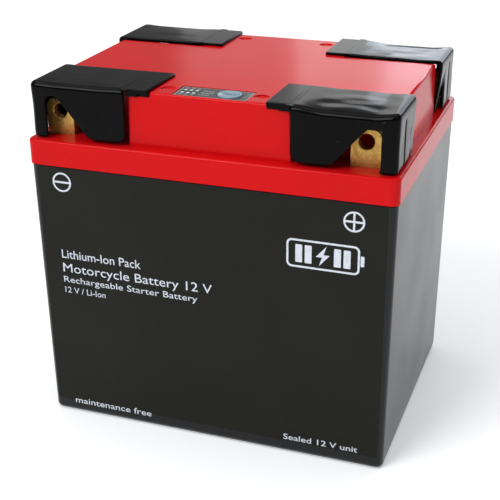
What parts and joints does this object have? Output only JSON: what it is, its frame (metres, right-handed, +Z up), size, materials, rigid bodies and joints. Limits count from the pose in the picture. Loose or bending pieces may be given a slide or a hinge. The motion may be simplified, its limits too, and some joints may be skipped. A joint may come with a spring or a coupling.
{
  "type": "motorcycle battery",
  "caption": "Sealed box-shaped lithium motorcycle battery with a stepped lid, brass plate terminals in the corners, hinged terminal flaps and a charge-test button.",
  "frame": {"origin": "centre of the flat base", "axes": "+X right along the front face that carries the label, +Y to the back, +Z up"},
  "size_m": [0.1662, 0.1262, 0.1633],
  "materials": {
    "case_black": "glossy moulded ABS with a light orange-peel",
    "lid_red": "glossy moulded ABS",
    "gasket_rubber": "matt black rubber",
    "label_film": "satin black film with silver print",
    "indicator_film": "satin dark grey film",
    "button_blue": "light steel-blue plastic",
    "component_black": "black moulding compound",
    "component_white": "off-white plastic",
    "board_green": "green solder mask on glass-fibre board",
    "screw_steel": "zinc-plated steel",
    "lens_clear": "clear light pipe",
    "cell_wrap": "blue shrink film over an aluminium can",
    "vent_foil": "bright foil",
    "link_aluminium": "rolled aluminium",
    "bus_copper": "rolled copper",
    "terminal_brass": "machined brass",
    "flap_black": "soft glossy black vinyl",
    "band_tape": "amber film",
    "foam_grey": "closed-cell foam"
  },
  "bodies": {
    "root": {"case": "case_black", "lid_gasket": "gasket_rubber", "lid": "lid_red", "front_label": "label_film", "indicator_label": "indicator_film", "test_switch": "component_black", "indicator_board": "board_green", "indicator_board_screws": "screw_steel", "indicator_leds": "component_white", "indicator_lenses": "lens_clear", "lid_screws": "screw_steel", "screw_plugs": "lid_red", "cell_vents": "vent_foil", "cell_spacers": "component_white", "pack_bands": "band_tape", "positive_bus": "bus_copper", "negative_bus": "bus_copper", "link_screws": "screw_steel", "terminal_screws": "screw_steel", "board_spacers": "component_white", "balance_board": "board_green", "balance_transistors": "component_black", "balance_resistors": "component_black", "flex_socket": "component_white", "flex_cable": "band_tape", "sense_strips": "vent_foil", "foam_left": "foam_grey", "foam_right": "foam_grey", "foam_front": "foam_grey", "foam_rear": "foam_grey", "foam_base": "foam_grey", "cell_1": "cell_wrap", "cell_2": "cell_wrap", "cell_3": "cell_wrap", "cell_4": "cell_wrap", "cell_link_1": "link_aluminium", "cell_link_2": "link_aluminium", "cell_link_3": "link_aluminium", "terminal_front_right": "terminal_brass", "flap_tab_front_right": "flap_black", "terminal_front_left": "terminal_brass", "flap_tab_front_left": "flap_black", "terminal_rear_right": "terminal_brass", "flap_tab_rear_right": "flap_black", "terminal_rear_left": "terminal_brass", "flap_tab_rear_left": "flap_black"},
    "flap_front_right": {"flap_front_right": "flap_black"},
    "flap_front_left": {"flap_front_left": "flap_black"},
    "flap_rear_right": {"flap_rear_right": "flap_black"},
    "flap_rear_left": {"flap_rear_left": "flap_black"},
    "test_button": {"test_button": "button_blue"}
  },
  "joints": [
    {"name": "flap_front_right_hinge", "type": "hinge", "parent": "root", "child": "flap_front_right", "pos_m": [0.0365, -0.0446, 0.1633], "axis": [0, -1, 0], "range_deg": [0, 105]},
    {"name": "flap_front_left_hinge", "type": "hinge", "parent": "root", "child": "flap_front_left", "pos_m": [-0.0365, -0.0446, 0.1633], "axis": [0, 1, 0], "range_deg": [0, 105]},
    {"name": "flap_rear_right_hinge", "type": "hinge", "parent": "root", "child": "flap_rear_right", "pos_m": [0.0365, 0.0446, 0.1633], "axis": [0, -1, 0], "range_deg": [0, 105]},
    {"name": "flap_rear_left_hinge", "type": "hinge", "parent": "root", "child": "flap_rear_left", "pos_m": [-0.0365, 0.0446, 0.1633], "axis": [0, 1, 0], "range_deg": [0, 105]},
    {"name": "test_button_press", "type": "slide", "parent": "root", "child": "test_button", "axis": [0, 0, -1], "range_m": [0, 0.0005], "stiffness_N_per_m": 1500}
  ]
}
